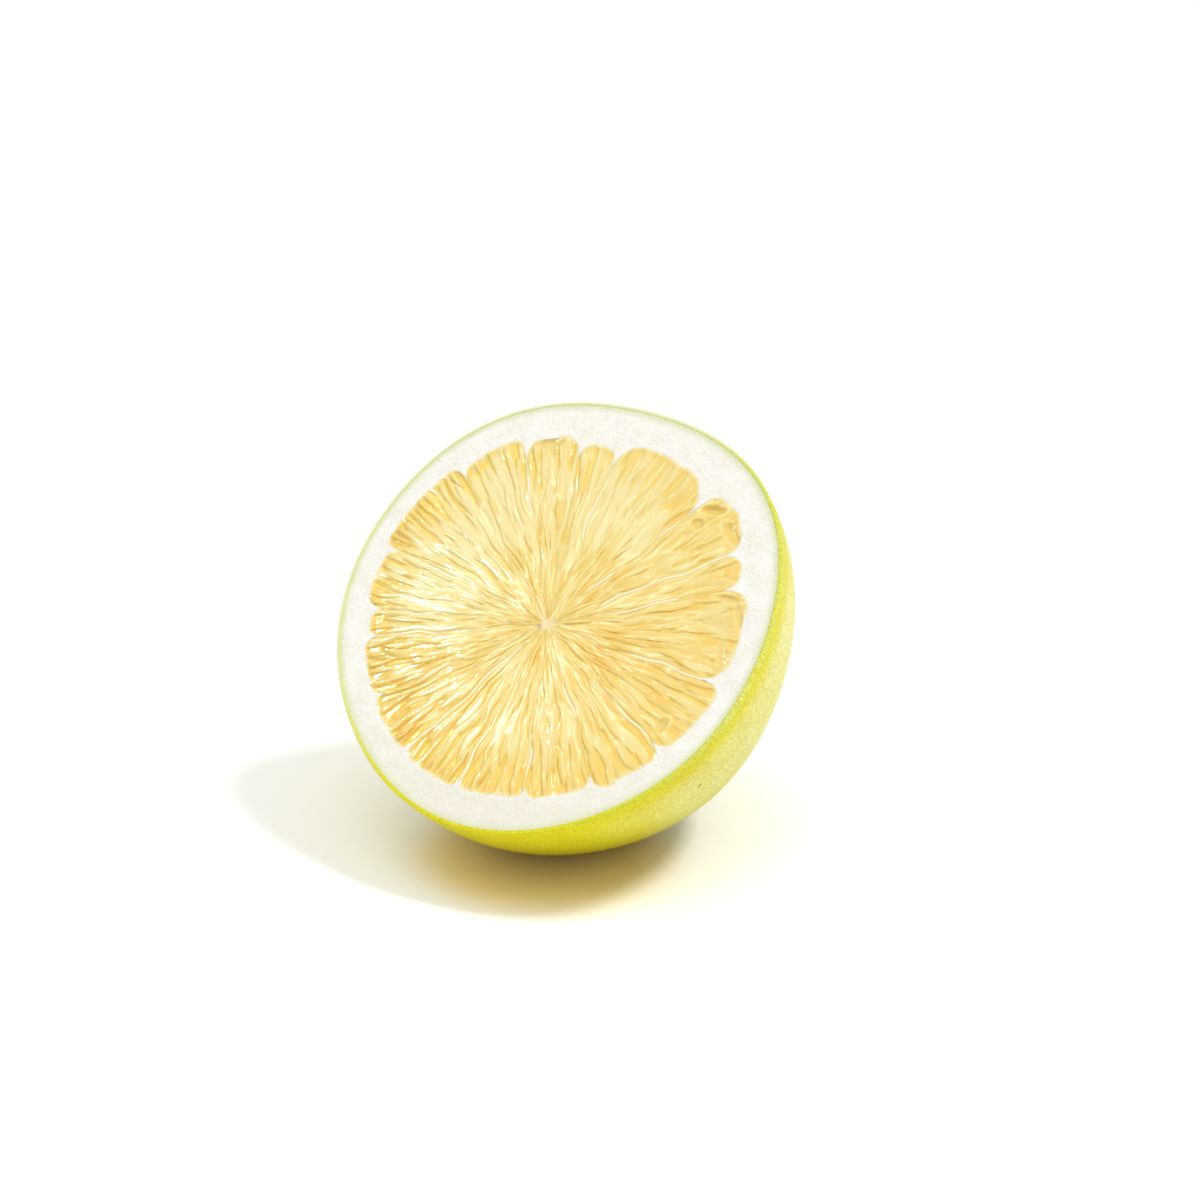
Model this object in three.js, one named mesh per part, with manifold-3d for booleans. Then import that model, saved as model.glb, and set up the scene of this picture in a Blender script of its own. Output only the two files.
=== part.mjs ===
import * as THREE from 'three';
import { mergeVertices } from 'three/addons/utils/BufferGeometryUtils.js';
import Module from 'manifold-3d';

// Half of a pomelo, cut across its middle, lying on its rounded side with the cut face leaning back.
// Millimetres, +Z up. The origin is the middle of the flat spot that the half rests on.
//
// The pieces are modelled in the fruit's own frame and then leaned over as one group. In the fruit's
// frame the cut face lies in z = 0 and looks along +Z, and the stem end points to -Z.

const wasm = await Module();
wasm.setup();

// Overall form
const cutRadius = 75; // middle of the cut face to the skin
const stemDepth = 89; // cut face to the stem end
const leanDeg = 46; // how far the cut face leans over from level
const restDepth = 1.6; // how far the resting side is pressed flat
// The skin isn't quite round: waves round the fruit as [count, height, where the first crest lies]
const skinWaves = [
  [2, 0.35, -105],
  [3, 1.1, 92],
  [4, 0.45, 170],
  [5, 0.5, -130],
];

// Layers
const rindThickness = 1.3;
const fleshDepth = 71; // cut face to the lowest flesh, over the thick pith of the stem end
const membraneThickness = 0.6; // wall of pith between two segments
const clearance = 0.35; // gap between neighbouring pieces

// Stem end
const dimpleRadius = 13;
const dimpleDepth = 4;
const furrowCount = 7; // shallow creases that run out from the stem
const furrowDepth = 0.7;
const buttonRadius = 4.6;
const buttonHeight = 2.2;
const buttonPoints = 5; // lobes of the dried calyx
const buttonNotch = 0.14; // half the depth of the notches between them, as a share of the radius
const buttonEdge = 0.5; // rounding of the button's rims

// Segments, anticlockwise on the cut face: [width in degrees, middle of the cut face to the outer end]
const firstMembraneDeg = 22.5;
const segmentSizes = [
  [11, 62],
  [20, 64.5],
  [35, 60.5],
  [12.5, 57.5],
  [17, 61.5],
  [19, 64.5],
  [29, 67],
  [19, 65],
  [9.5, 62.5],
  [21, 63],
  [22.5, 63.5],
  [23, 64],
  [23, 63.5],
  [22, 64],
  [22, 66],
  [24.5, 66.5],
  [30, 64.5],
];
const coreX = 1.1; // where the membranes meet, from the middle of the cut face
const coreY = -6.4;
const lobeRadius = 7; // rounding at a segment's outer corners

// Juice sacs, as relief on the flesh of the cut face
const sacWidth = 4.6; // at the outer end
const sacLength = 21;
const sacTop = 0.12; // crests under the plane of the cut
const sacGroove = 1.7; // grooves under the plane of the cut
const fleshEdge = 1; // the segments' sides, under the plane of the cut

const leastWidth = 2; // of a segment, where it ends near the stem
const pocketMouth = 4; // how far the cutter of a pocket stands over the plane of the cut

// How finely the round forms are divided
const skinSides = 48;
const skinRows = 11;
const skinRowDeg = 7.5;
const stemRowsDeg = [80, 84.5, 87.5]; // closer rows round the dimple
const sacSteps = 8; // along a sac row, core to rind
const backSteps = 7; // down a segment's back

const radians = THREE.MathUtils.degToRad;
const wholeTurn = 2 * Math.PI;

// A number from 0 to 1 that is always the same for the same two whole numbers.
function steadyRandom(a, b) {
  const wave = Math.sin(a * 12.9898 + b * 78.233 + 4.1) * 43758.5453;
  return wave - Math.floor(wave);
}

function geometryFrom(points, triangles) {
  const geometry = new THREE.BufferGeometry();
  geometry.setAttribute('position', new THREE.Float32BufferAttribute(points.flat(), 3));
  geometry.setIndex(triangles.flat());
  return geometry;
}

function solidFrom(geometry) {
  const bare = geometry.clone();
  bare.deleteAttribute('normal');
  bare.deleteAttribute('uv');
  const merged = mergeVertices(bare);
  return new wasm.Manifold(
    new wasm.Mesh({
      numProp: 3,
      vertProperties: merged.attributes.position.array,
      triVerts: new Uint32Array(merged.index.array),
    }),
  );
}

function geometryOf(solid) {
  const { vertProperties, triVerts } = solid.getMesh();
  const geometry = new THREE.BufferGeometry();
  geometry.setAttribute('position', new THREE.BufferAttribute(vertProperties, 3));
  geometry.setIndex(new THREE.BufferAttribute(triVerts, 1));
  return geometry;
}

// ---- The skin, and every layer that follows it ----

function skinWave(angle) {
  return skinWaves.reduce((sum, [count, height, crestDeg]) => {
    return sum + height * Math.cos(count * angle - radians(crestDeg));
  }, 0);
}

// A point of the layer that lies inset under the skin. slope runs from 0 at the cut to 90 degrees
// at the stem end.
function layerPoint(angle, slope, inset) {
  const out = (cutRadius - inset + skinWave(angle)) * Math.cos(slope);
  const nearStem = Math.exp(-((out / dimpleRadius) ** 2));
  const inFurrow = (out / dimpleRadius) ** 2 * Math.exp(1 - (out / dimpleRadius) ** 2);
  const furrow = furrowDepth * inFurrow * (0.5 + 0.5 * Math.cos(furrowCount * angle));
  const down = (stemDepth - inset) * Math.sin(slope) - dimpleDepth * nearStem - furrow * Math.sin(slope);
  return [out * Math.cos(angle), out * Math.sin(angle), -down];
}

// The solid inside a layer, closed by a level top at z = top.
function bowlSolid(inset, top) {
  const points = [];
  const rings = [...Array(skinRows).keys()].map((row) => radians(row * skinRowDeg));
  rings.push(...stemRowsDeg.map(radians));
  if (top > 0) rings.unshift(null);
  rings.forEach((slope) => {
    for (let side = 0; side < skinSides; side++) {
      const angle = (side / skinSides) * wholeTurn;
      const [x, y, z] = layerPoint(angle, slope ?? 0, inset);
      points.push([x, y, slope === null ? top : z]);
    }
  });
  const pole = points.push(layerPoint(0, Math.PI / 2, inset)) - 1;
  const lid = points.push([0, 0, top]) - 1;
  const triangles = [];
  const lastRing = (rings.length - 1) * skinSides;
  for (let side = 0; side < skinSides; side++) {
    const next = (side + 1) % skinSides;
    triangles.push([lid, side, next], [pole, lastRing + next, lastRing + side]);
    for (let ring = 0; ring < rings.length - 1; ring++) {
      const upper = ring * skinSides;
      const lower = upper + skinSides;
      triangles.push([upper + side, lower + side, lower + next], [upper + side, lower + next, upper + next]);
    }
  }
  return solidFrom(geometryFrom(points, triangles));
}

// ---- How the half lies ----

const lean = radians(leanDeg);
const faceHeight = Math.hypot(cutRadius * Math.sin(lean), stemDepth * Math.cos(lean)) - restDepth;
const contactY = ((stemDepth ** 2 - cutRadius ** 2) * Math.sin(lean) * Math.cos(lean)) / (faceHeight + restDepth);

const half = new THREE.Group();
half.rotation.x = lean;
half.position.set(0, -contactY, faceHeight);
half.updateMatrixWorld(true);

// Everything above a height over the floor, as a solid in the fruit's frame.
function above(height) {
  const size = 4 * stemDepth;
  const block = new THREE.BoxGeometry(size, size, size).translate(0, 0, size / 2 + height);
  return solidFrom(block.applyMatrix4(half.matrixWorld.clone().invert()));
}

// ---- Segments ----

function segmentPlan() {
  let start = firstMembraneDeg;
  return segmentSizes.map(([widthDeg, reach], number) => {
    const plan = {
      number,
      reach,
      middle: radians(start + widthDeg / 2),
      spread: radians(widthDeg / 2),
      rows: Math.max(2, Math.round((radians(widthDeg) * reach) / sacWidth)),
    };
    start += widthDeg;
    return plan;
  });
}

// Where the slices of a segment lie, from -1 at one membrane to 1 at the next. An extra slice beside
// each membrane rounds the corner.
function sliceSpots(count) {
  const spots = Array.from({ length: count + 1 }, (_, i) => (2 * i) / count - 1);
  const corner = 1 - 0.5 / count;
  return [-1, -corner, ...spots.slice(1, -1), corner, 1];
}

// The form of a segment, as points on upright slices at spots from -1 to 1. grow makes the pocket that
// the segment lies in: the same form, moved out on every side.
function slicer(plan, grow) {
  const edge = (membraneThickness / 2 + clearance) / Math.sin(plan.spread); // core to the inner edge
  const inward = grow / Math.sin(plan.spread);
  const lastSlope = Math.acos((edge + leastWidth) / plan.reach);
  const corner = Math.min(lobeRadius, 0.8 * plan.spread * plan.reach);

  // The inner edge leans with the core, which runs to the stem end.
  function innerEdge(z, out) {
    const fade = 1 + z / fleshDepth;
    return [coreX * fade + out * Math.cos(plan.middle), coreY * fade + out * Math.sin(plan.middle)];
  }

  // Length of a slice from the inner edge out to the segment's back, at a slope down the back
  function length(spot, slope) {
    const angle = plan.middle + spot * plan.spread;
    const [x, y] = innerEdge(-fleshDepth * Math.sin(slope), edge);
    const along = x * Math.cos(angle) + y * Math.sin(angle);
    const whole = Math.sqrt(along ** 2 - x ** 2 - y ** 2 + (plan.reach * Math.cos(slope)) ** 2) - along;
    const toSide = plan.reach * (1 - Math.abs(spot)) * plan.spread;
    const drop = toSide < corner ? corner - Math.sqrt(toSide * (2 * corner - toSide)) : 0;
    return whole * (1 - drop / plan.reach) + grow + inward * Math.cos(spot * plan.spread);
  }

  function at(spot, out, z) {
    const angle = plan.middle + spot * plan.spread;
    const [x, y] = innerEdge(z, edge - inward);
    return [x + out * Math.cos(angle), y + out * Math.sin(angle), z - (z < 0 ? grow : 0)];
  }

  // The back and the lowest point of the inner edge, from firstSlope down
  function back(spot) {
    const firstSlope = Math.asin((2 * fleshEdge) / fleshDepth);
    const wall = Array.from({ length: backSteps + 1 }, (_, i) => {
      const slope = firstSlope + (i / backSteps) * (lastSlope - firstSlope);
      return at(spot, length(spot, slope), -fleshDepth * Math.sin(slope));
    });
    return [...wall, at(spot, 0, -fleshDepth * Math.sin(lastSlope))];
  }

  return { at, back, length };
}

// A closed body from slices that share their first and last point, which lie on the inner edge.
function bodyFromSlices(slices) {
  const inner = slices[0].length - 2;
  const points = [slices[0][0], slices[0].at(-1)];
  slices.forEach((slice) => points.push(...slice.slice(1, -1)));
  const index = (slice, i) => {
    if (i === 0) return 0;
    return i === inner + 1 ? 1 : 2 + slice * inner + i - 1;
  };
  const triangles = [];
  const add = (...corners) => {
    if (new Set(corners).size === 3) triangles.push(corners);
  };
  for (let slice = 0; slice < slices.length - 1; slice++) {
    for (let i = 0; i <= inner; i++) {
      const [a, b] = [index(slice, i), index(slice, i + 1)];
      const [c, d] = [index(slice + 1, i), index(slice + 1, i + 1)];
      add(a, b, d);
      add(a, d, c);
    }
  }
  const last = slices.length - 1;
  for (let i = 0; i < inner; i++) {
    triangles.push([1, index(0, i + 1), index(0, i)], [1, index(last, i), index(last, i + 1)]);
  }
  return geometryFrom(points, triangles);
}

// Height of the sacs' relief: each row swells and narrows in turn, out of step with its neighbours.
function sacHeight(plan, slice, lastSlice, out) {
  if (slice <= 1 || slice >= lastSlice - 1) return -fleshEdge;
  if (slice % 2 === 1) return -sacGroove;
  const along = out / sacLength + steadyRandom(plan.number, slice);
  const pinch = Math.cos(Math.PI * along) ** 4;
  return -sacTop - pinch * (sacGroove - sacTop);
}

function segmentGeometry(plan) {
  const { at, back, length } = slicer(plan, 0);
  const spots = sliceSpots(2 * plan.rows);
  const slices = spots.map((spot, slice) => {
    const top = [at(spot, 0, -fleshEdge)];
    for (let i = 1; i <= sacSteps; i++) {
      const out = (length(spot, 0) - fleshEdge) * (i / sacSteps);
      const height = i < sacSteps ? sacHeight(plan, slice, spots.length - 1, out) : -fleshEdge;
      top.push(at(spot, out, height));
    }
    return [...top, ...back(spot)];
  });
  return bodyFromSlices(slices);
}

// The pocket is open upwards, and needs only every other slice between its rounded corners.
function pocketSolid(plan) {
  const { at, back, length } = slicer(plan, clearance);
  const nearCorner = (i, count) => i < 4 || i > count - 5;
  const spots = sliceSpots(2 * plan.rows).filter((_, i, all) => nearCorner(i, all.length) || i % 2 === 0);
  const slices = spots.map((spot) => {
    return [at(spot, 0, pocketMouth), at(spot, length(spot, 0), pocketMouth), ...back(spot)];
  });
  return solidFrom(bodyFromSlices(slices));
}

// ---- Rind, pith and stem ----

function rindSolid() {
  const skin = bowlSolid(0, 0).intersect(above(0));
  const inside = bowlSolid(rindThickness, rindThickness).intersect(above(rindThickness));
  return skin.subtract(inside);
}

function pithSolid(plans) {
  const inset = rindThickness + clearance;
  const whole = bowlSolid(inset, 0).intersect(above(inset));
  return plans.reduce((pith, plan) => pith.subtract(pocketSolid(plan)), whole);
}

// The dried calyx that stays on the fruit: a low button with blunt points.
function buttonGeometry() {
  const outline = new THREE.Shape();
  const corners = 6 * buttonPoints;
  for (let i = 0; i < corners; i++) {
    const angle = (i / corners) * wholeTurn;
    const out = buttonRadius * (1 - buttonNotch + buttonNotch * Math.cos(buttonPoints * angle));
    outline[i ? 'lineTo' : 'moveTo'](out * Math.cos(angle), out * Math.sin(angle));
  }
  const shape = new THREE.ExtrudeGeometry(outline, {
    depth: buttonHeight - 2 * buttonEdge,
    steps: 1,
    curveSegments: 1,
    bevelThickness: buttonEdge,
    bevelSize: buttonEdge,
    bevelOffset: -buttonEdge,
    bevelSegments: 2,
  });
  // The button sits just clear of the highest skin under it, between two furrows.
  const underEdge = Math.acos(buttonRadius / cutRadius);
  const seat = -layerPoint(Math.PI / furrowCount, underEdge, 0)[2];
  return mergeVertices(shape.translate(0, 0, buttonEdge - seat - clearance - buttonHeight));
}

// ---- The half pomelo ----

function addPiece(name, geometry, colour, roughness) {
  const faceted = geometry.index ? geometry.toNonIndexed() : geometry;
  faceted.computeVertexNormals();
  const material = new THREE.MeshStandardMaterial({ color: colour, roughness, metalness: 0 });
  const mesh = new THREE.Mesh(faceted, material);
  mesh.name = name;
  half.add(mesh);
}

const plans = segmentPlan();
addPiece('rind', geometryOf(rindSolid()), 0xb9cc24, 0.45);
addPiece('pith', geometryOf(pithSolid(plans)), 0xf7f4e6, 0.8);
plans.forEach((plan) => {
  const name = `segment_${String(plan.number + 1).padStart(2, '0')}`;
  addPiece(name, segmentGeometry(plan), 0xf4d981, 0.25);
});
addPiece('stem_button', buttonGeometry(), 0x7a6a3a, 0.85);

export default half;
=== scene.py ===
import math
import random

import bmesh
import bpy
import numpy as np
from mathutils import Matrix, Vector, noise


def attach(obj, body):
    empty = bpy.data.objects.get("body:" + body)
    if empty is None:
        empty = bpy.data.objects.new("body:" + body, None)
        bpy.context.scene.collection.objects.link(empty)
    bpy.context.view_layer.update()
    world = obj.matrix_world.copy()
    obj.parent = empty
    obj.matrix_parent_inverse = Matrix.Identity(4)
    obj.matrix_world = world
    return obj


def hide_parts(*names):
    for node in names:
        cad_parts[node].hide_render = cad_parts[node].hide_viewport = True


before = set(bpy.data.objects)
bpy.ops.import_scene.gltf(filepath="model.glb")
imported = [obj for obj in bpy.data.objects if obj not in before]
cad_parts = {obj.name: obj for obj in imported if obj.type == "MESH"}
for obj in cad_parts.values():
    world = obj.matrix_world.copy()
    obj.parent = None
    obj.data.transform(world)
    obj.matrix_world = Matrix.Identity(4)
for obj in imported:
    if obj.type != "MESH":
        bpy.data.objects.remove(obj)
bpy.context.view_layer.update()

# Half a pomelo, cut across its middle, lying on its rounded side.
# The pieces are shaped in the fruit's own frame, in millimetres: the cut face lies in z = 0 and
# looks along +Z, and the stem end points to -Z. Each one is then leaned over into the row frame.
fruit = {
    "cutRadius": 75.0,  # middle of the cut face to the skin
    "stemDepth": 89.0,  # cut face to the stem end
    "leanDeg": 46.0,  # how far the cut face leans over from level
    "restDepth": 1.6,  # how far the resting side is pressed flat
    "skinWaves": [(2, 0.35, -105), (3, 1.1, 92), (4, 0.45, 170), (5, 0.5, -130)],  # count, height, crest
    "dimpleRadius": 13.0,
    "dimpleDepth": 4.0,
    "furrowCount": 7,
    "furrowDepth": 0.7,
    "rindThickness": 1.3,
    "fleshDepth": 71.0,
    "membraneThickness": 0.6,
    "clearance": 0.35,
    "core": (1.1, -6.4),  # where the membranes meet
    "raggedEnds": 0.8,
}
# Segments anticlockwise on the cut face: width in degrees, and middle of the cut face to the outer end
segmentSizes = [
    (11, 62), (20, 64.5), (35, 60.5), (12.5, 57.5), (17, 61.5), (19, 64.5), (29, 67), (19, 65),
    (9.5, 62.5), (21, 63), (22.5, 63.5), (23, 64), (23, 63.5), (22, 64), (22, 66), (24.5, 66.5),
    (30, 64.5),
]
firstMembraneDeg = 22.5
# Rounding at the outer corners of each segment
lobeRadii = [7, 7, 10, 5, 6, 4, 4, 5, 4, 4, 3.5, 3.5, 3.5, 4, 5, 6, 8]

millimetre = 0.001
lean = math.radians(fruit["leanDeg"])
wholeTurn = 2 * math.pi
creaseDeg = 50.0  # edges that turn by more stay sharp
contactHeight = math.hypot(fruit["cutRadius"] * math.sin(lean), fruit["stemDepth"] * math.cos(lean))
faceHeight = contactHeight - fruit["restDepth"]
stretch = fruit["stemDepth"] ** 2 - fruit["cutRadius"] ** 2
contactY = stretch * math.sin(lean) * math.cos(lean) / contactHeight
rowPlace = (0.0, -contactY * millimetre, faceHeight * millimetre)
toRow = Matrix.Translation(rowPlace) @ Matrix.Rotation(lean, 4, "X") @ Matrix.Scale(millimetre, 4)
upInFruit = Vector((0.0, math.sin(lean), math.cos(lean)))


def clamp(value, low, high):
    return max(low, min(high, value))


def smooth(value):
    value = clamp(value, 0.0, 1.0)
    return value * value * (3 - 2 * value)


def blend(a, b, share):
    return a + (b - a) * share


def skinWave(angle):
    return sum(
        height * math.cos(count * angle - math.radians(crest))
        for count, height, crest in fruit["skinWaves"]
    )


# A point of the layer that lies inset under the skin. slope is 0 at the cut and 90 degrees at the stem end.
def layerPoint(angle, slope, inset):
    out = (fruit["cutRadius"] - inset + skinWave(angle)) * math.cos(slope)
    ratio = (out / fruit["dimpleRadius"]) ** 2
    fluting = 0.5 + 0.5 * math.cos(fruit["furrowCount"] * angle)
    furrow = fruit["furrowDepth"] * ratio * math.exp(1 - ratio) * fluting
    down = (fruit["stemDepth"] - inset - furrow) * math.sin(slope) - fruit["dimpleDepth"] * math.exp(-ratio)
    return Vector((out * math.cos(angle), out * math.sin(angle), -down))


# Lifts a point that would go under the resting plane.
def restOn(point, level):
    height = point.dot(upInFruit) + faceHeight
    return point + upInFruit * (level - height) if height < level else point


def segmentPlans():
    plans = []
    start = firstMembraneDeg
    for number, (width, reach) in enumerate(segmentSizes):
        plans.append({
            "name": f"segment_{number + 1:02d}",
            "number": number,
            "reach": reach,
            "start": math.radians(start),
            "middle": math.radians(start + width / 2),
            "spread": math.radians(width / 2),
        })
        start += width
    return plans


# The form of a segment on upright slices at spots from -1 to 1, or of its pocket where grow is above 0.
class Slicer:
    def __init__(self, plan, grow):
        self.plan = plan
        self.grow = grow
        sine = math.sin(plan["spread"])
        self.edge = (fruit["membraneThickness"] / 2 + fruit["clearance"]) / sine
        self.inward = grow / sine
        self.lastSlope = math.acos((self.edge + 2.0) / plan["reach"])
        self.corner = min(lobeRadii[plan["number"]], 0.8 * plan["spread"] * plan["reach"])

    def innerEdge(self, z, out):
        fade = 1 + z / fruit["fleshDepth"]
        middle = self.plan["middle"]
        coreX, coreY = fruit["core"]
        return coreX * fade + out * math.cos(middle), coreY * fade + out * math.sin(middle)

    def length(self, spot, slope):
        plan = self.plan
        angle = plan["middle"] + spot * plan["spread"]
        x, y = self.innerEdge(-fruit["fleshDepth"] * math.sin(slope), self.edge)
        along = x * math.cos(angle) + y * math.sin(angle)
        whole = math.sqrt(along ** 2 - x ** 2 - y ** 2 + (plan["reach"] * math.cos(slope)) ** 2) - along
        toSide = max(0.0, plan["reach"] * (1 - abs(spot)) * plan["spread"])
        corner = self.corner
        drop = corner - math.sqrt(toSide * (2 * corner - toSide)) if toSide < corner else 0.0
        seed = Vector((math.cos(angle), math.sin(angle), 0.3 * plan["number"]))
        ragged = (noise.noise(seed * 9) + 0.6 * noise.noise(seed * 22)) * math.exp(-slope * 12)
        whole = whole * (1 - drop / plan["reach"]) + fruit["raggedEnds"] * ragged
        return whole + self.grow + self.inward * math.cos(spot * plan["spread"])

    def at(self, spot, out, z):
        angle = self.plan["middle"] + spot * self.plan["spread"]
        x, y = self.innerEdge(min(z, 0.0), self.edge - self.inward)
        drop = self.grow if z < 0 else 0.0
        return Vector((x + out * math.cos(angle), y + out * math.sin(angle), z - drop))


def layer(bm, name):
    return bm.verts.layers.float.get(name) or bm.verts.layers.float.new(name)


def vectorLayer(bm, name):
    return bm.verts.layers.float_vector.get(name) or bm.verts.layers.float_vector.new(name)


def finishPiece(bm, name, materials, nodes, crispDeg=180.0):
    openEdges = sum(1 for edge in bm.edges if len(edge.link_faces) != 2)
    if crispDeg < 180.0:
        for edge in bm.edges:
            edge.smooth = edge.calc_face_angle(0.0) < math.radians(crispDeg)
    bmesh.ops.transform(bm, matrix=toRow, verts=bm.verts)
    for face in bm.faces:
        face.smooth = True
    mesh = bpy.data.meshes.new(name)
    bm.to_mesh(mesh)
    bm.free()
    for material in materials:
        mesh.materials.append(material)
    piece = bpy.data.objects.new(name, mesh)
    bpy.context.scene.collection.objects.link(piece)
    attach(piece, "root")
    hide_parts(*nodes)
    mesh.calc_loop_triangles()
    print(f"{name}: {len(mesh.loop_triangles)} triangles, {openEdges} open edges")


# A closed bowl from a ball: row 0 is the middle of its inside, and the last row the middle of its outside.
# place gives the point of a row and column, and its value of the named attribute.
def bowl(sides, rows, tintName, place):
    bm = bmesh.new()
    bmesh.ops.create_uvsphere(bm, u_segments=sides, v_segments=rows, radius=1.0)
    tint = layer(bm, tintName)
    for vert in bm.verts:
        row = round(rows * math.acos(clamp(vert.co.z, -1.0, 1.0)) / math.pi)
        column = round(sides * (math.atan2(vert.co.y, vert.co.x) % wholeTurn) / wholeTurn) % sides
        point, share = place(row, column)
        vert.co = point
        vert[tint] = share
    bmesh.ops.recalc_face_normals(bm, faces=bm.faces)
    return bm


def newMaterial(name):
    material = bpy.data.materials.new(name)
    material.use_nodes = True
    tree = material.node_tree
    return material, tree, tree.nodes["Principled BSDF"]


def addNode(tree, kind, settings=None, **inputs):
    made = tree.nodes.new(kind)
    for key, value in (settings or {}).items():
        setattr(made, key, value)
    for key, value in inputs.items():
        socket = made.inputs[1 if key == "Vector_001" else key.replace("_", " ")]
        if isinstance(value, bpy.types.NodeSocket):
            tree.links.new(value, socket)
        else:
            socket.default_value = value
    return made


def setSockets(shader, **values):
    for key, value in values.items():
        shader.inputs[key.replace("_", " ")].default_value = value


def vectorMath(tree, operation, first, second=(0.0, 0.0, 0.0)):
    return addNode(
        tree, "ShaderNodeVectorMath", {"operation": operation}, Vector=first, Vector_001=second,
    ).outputs["Value"]


# Distance from the middle of an ellipsoid, where 1 is its surface
def ellipsoidAt(tree, vector, place, size, turn=(0.0, 0.0, 0.0)):
    local = addNode(
        tree, "ShaderNodeMapping", {"vector_type": "TEXTURE"}, Vector=vector,
        Location=place, Rotation=turn, Scale=size,
    ).outputs["Vector"]
    return vectorMath(tree, "LENGTH", local)


# The fruit's own frame in millimetres, from the Object coordinates
def fruitSpace(tree):
    source = addNode(tree, "ShaderNodeTexCoord")
    return addNode(
        tree, "ShaderNodeMapping", {"vector_type": "TEXTURE"}, Vector=source.outputs["Object"],
        Location=rowPlace, Rotation=(lean, 0.0, 0.0), Scale=(millimetre,) * 3,
    ).outputs["Vector"]


def attribute(tree, name, output="Fac"):
    return addNode(tree, "ShaderNodeAttribute", {"attribute_name": name}).outputs[output]


def mapRange(tree, value, low, high, newLow=0.0, newHigh=1.0):
    made = addNode(tree, "ShaderNodeMapRange", {"interpolation_type": "SMOOTHSTEP"}, Value=value)
    for key, number in zip(("From Min", "From Max", "To Min", "To Max"), (low, high, newLow, newHigh)):
        made.inputs[key].default_value = number
    return made.outputs["Result"]


def mathNode(tree, operation, first, second):
    made = addNode(tree, "ShaderNodeMath", {"operation": operation})
    for socket, value in zip(made.inputs, (first, second)):
        if isinstance(value, bpy.types.NodeSocket):
            tree.links.new(value, socket)
        else:
            socket.default_value = value
    return made.outputs["Value"]


def times(tree, first, second):
    return mathNode(tree, "MULTIPLY", first, second)


def mixColour(tree, factor, first, second):
    made = addNode(tree, "ShaderNodeMix", {"data_type": "RGBA"})
    for index, value in ((0, factor), (6, first), (7, second)):
        if isinstance(value, bpy.types.NodeSocket):
            tree.links.new(value, made.inputs[index])
        elif index:
            made.inputs[index].default_value = (*value, 1.0)
        else:
            made.inputs[index].default_value = value
    return made.outputs[2]


def ramp(tree, value, stops):
    made = addNode(tree, "ShaderNodeValToRGB", Fac=value)
    elements = made.color_ramp.elements
    while len(elements) < len(stops):
        elements.new(0.5)
    for element, (position, colour) in zip(elements, stops):
        element.position = position
        element.color = (*colour, 1.0)
    return made.outputs["Color"]


def noiseAt(tree, vector, scale, detail=2.0, roughness=0.5, distortion=0.0):
    return addNode(
        tree, "ShaderNodeTexNoise", Vector=vector, Scale=scale, Detail=detail, Roughness=roughness,
        Distortion=distortion,
    ).outputs["Fac"]


def cellsAt(tree, vector, scale):
    return addNode(
        tree, "ShaderNodeTexVoronoi", Vector=vector, Scale=scale, Randomness=1.0,
    ).outputs["Distance"]


def bumpOf(tree, height, distance, strength=1.0, normal=None):
    made = addNode(tree, "ShaderNodeBump", Height=height, Distance=distance * millimetre, Strength=strength)
    if normal:
        tree.links.new(normal, made.inputs["Normal"])
    return made.outputs["Normal"]


# Mottling: soft clouds broken up by a finer grain, used by the rind, the pith and the calyx
def mottleGroup():
    group = bpy.data.node_groups.new("mottle", "ShaderNodeTree")
    group.interface.new_socket("Vector", in_out="INPUT", socket_type="NodeSocketVector")
    for name in ("Cloud Scale", "Grain Scale", "Grain Share"):
        group.interface.new_socket(name, in_out="INPUT", socket_type="NodeSocketFloat")
    group.interface.new_socket("Mask", in_out="OUTPUT", socket_type="NodeSocketFloat")
    source = group.nodes.new("NodeGroupInput")
    target = group.nodes.new("NodeGroupOutput")
    cloud = noiseAt(group, source.outputs["Vector"], source.outputs["Cloud Scale"], 3.0)
    grain = noiseAt(group, source.outputs["Vector"], source.outputs["Grain Scale"], 3.0, 0.65)
    mixed = addNode(group, "ShaderNodeMix", {"data_type": "FLOAT"})
    for index, socket in ((0, source.outputs["Grain Share"]), (2, cloud), (3, grain)):
        group.links.new(socket, mixed.inputs[index])
    group.links.new(mapRange(group, mixed.outputs[0], 0.32, 0.68), target.inputs["Mask"])
    return group


mottle = mottleGroup()


def mottleMask(tree, vector, cloudScale, grainScale, grainShare):
    made = addNode(tree, "ShaderNodeGroup", {"node_tree": mottle}, Vector=vector)
    setSockets(made, Cloud_Scale=cloudScale, Grain_Scale=grainScale, Grain_Share=grainShare)
    return made.outputs["Mask"]


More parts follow.
